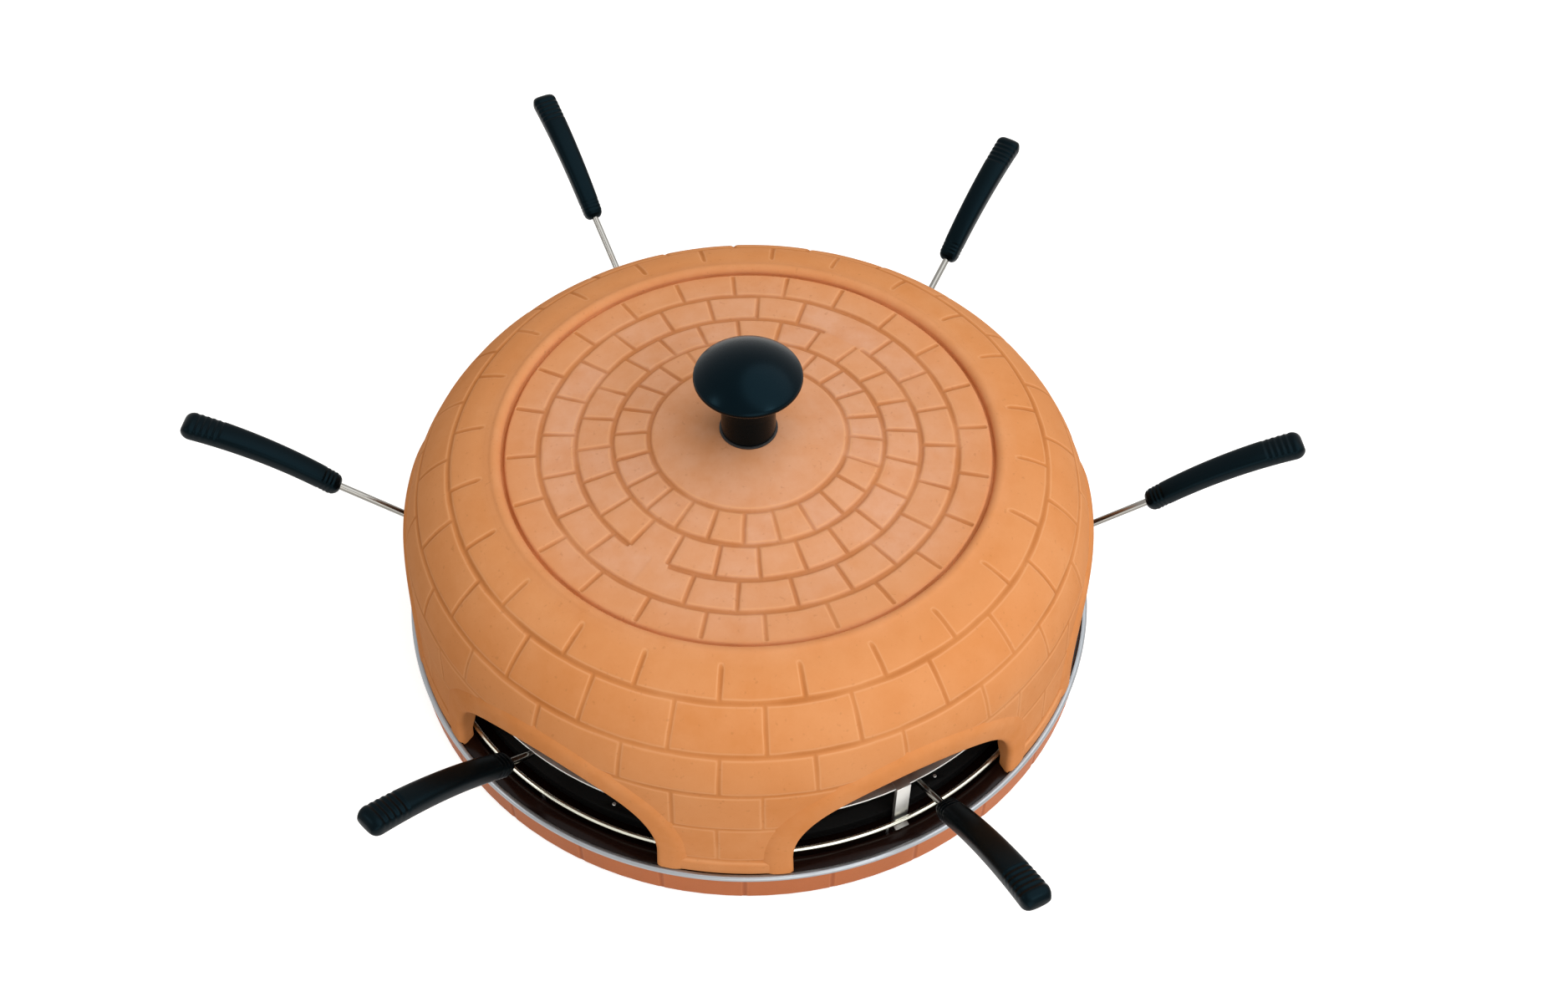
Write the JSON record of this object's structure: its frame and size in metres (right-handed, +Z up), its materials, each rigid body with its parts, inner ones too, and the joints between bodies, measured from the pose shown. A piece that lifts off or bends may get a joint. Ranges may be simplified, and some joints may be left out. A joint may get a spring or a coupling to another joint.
{
  "type": "table-top pizza oven",
  "caption": "Round table-top pizza oven: a lift-off terracotta dome with arches over a heated base with a baking plate, and long-handled spatulas that slide in through the arches.",
  "frame": {"origin": "on the dome's axis, at the height of the table under the feet", "axes": "+Z up along the dome's axis, -Y towards the front as pictured, +X to the picture's right"},
  "size_m": [0.6992, 0.6515, 0.222],
  "materials": {
    "painted_band": "matt terracotta paint",
    "plain_steel": "plain sheet steel",
    "rubber_black": "matt rubber",
    "bright_steel": "bright plated steel",
    "rim_steel": "rolled bright rim",
    "brown_enamel": "glossy dark brown enamel",
    "heater_tube": "dull heater sheath",
    "white_ceramic": "unglazed ceramic",
    "black_insulation": "soft heat-proof insulation",
    "black_coating": "black non-stick coating",
    "ring_steel": "bright bare steel",
    "black_plastic": "fine matt plastic",
    "pilot_lens": "clear red plastic",
    "terracotta": "unglazed terracotta",
    "knob_black": "satin black",
    "shaft_steel": "bright wire",
    "handle_black": "satin black"
  },
  "bodies": {
    "base": {"base_drum": "painted_band", "bottom_cover": "plain_steel", "feet": "rubber_black", "foot_screws": "bright_steel", "rim_ring": "rim_steel", "tray": "brown_enamel", "lower_heater": "heater_tube", "lower_clips": "bright_steel", "terminal_block": "white_ceramic", "leads": "black_insulation", "plate_posts": "plain_steel", "baking_plate": "black_coating", "plate_rivets": "bright_steel", "plate_ring": "ring_steel", "ring_legs": "bright_steel", "heater_legs": "bright_steel", "feed_strap": "bright_steel", "feed_rods": "heater_tube", "carrier_ring": "bright_steel", "upper_heater": "heater_tube", "upper_clips": "bright_steel", "switch_case": "black_plastic", "cord_gland": "black_plastic", "gland_nut": "black_plastic"},
    "dome": {"dome": "terracotta", "knob_gasket": "black_insulation", "knob": "knob_black", "knob_washer": "bright_steel", "knob_screw": "bright_steel"},
    "rocker": {"switch_rocker": "black_plastic", "switch_lens": "pilot_lens"},
    "spatula_1": {"blade_1": "plain_steel", "shaft_1": "shaft_steel", "handle_1": "handle_black"},
    "spatula_2": {"blade_2": "plain_steel", "shaft_2": "shaft_steel", "handle_2": "handle_black"},
    "spatula_3": {"blade_3": "plain_steel", "shaft_3": "shaft_steel", "handle_3": "handle_black"},
    "spatula_4": {"blade_4": "plain_steel", "shaft_4": "shaft_steel", "handle_4": "handle_black"},
    "spatula_5": {"blade_5": "plain_steel", "shaft_5": "shaft_steel", "handle_5": "handle_black"},
    "spatula_6": {"blade_6": "plain_steel", "shaft_6": "shaft_steel", "handle_6": "handle_black"}
  },
  "joints": [
    {"name": "dome_lift", "type": "slide", "parent": "base", "child": "dome", "axis": [0, 0, 1], "range_m": [0, 0.25]},
    {"name": "spatula_1_slide", "type": "slide", "parent": "base", "child": "spatula_1", "axis": [-0.6845, -0.729, 0], "range_m": [0, 0.185]},
    {"name": "spatula_2_slide", "type": "slide", "parent": "base", "child": "spatula_2", "axis": [-0.9943, 0.1063, 0], "range_m": [-0.03, 0.13]},
    {"name": "spatula_3_slide", "type": "slide", "parent": "base", "child": "spatula_3", "axis": [-0.471, 0.8821, 0], "range_m": [-0.06, 0.075]},
    {"name": "spatula_4_slide", "type": "slide", "parent": "base", "child": "spatula_4", "axis": [0.5255, 0.8508, 0], "range_m": [-0.05, 0.105]},
    {"name": "spatula_5_slide", "type": "slide", "parent": "base", "child": "spatula_5", "axis": [0.994, 0.1097, 0], "range_m": [-0.02, 0.145]},
    {"name": "spatula_6_slide", "type": "slide", "parent": "base", "child": "spatula_6", "axis": [0.4493, -0.8934, 0], "range_m": [0, 0.06]},
    {"name": "rocker_tilt", "type": "hinge", "parent": "base", "child": "rocker", "pos_m": [0.05539, 0.20671, 0.0103], "axis": [0, 0, -1], "range_deg": [0, 14]}
  ]
}
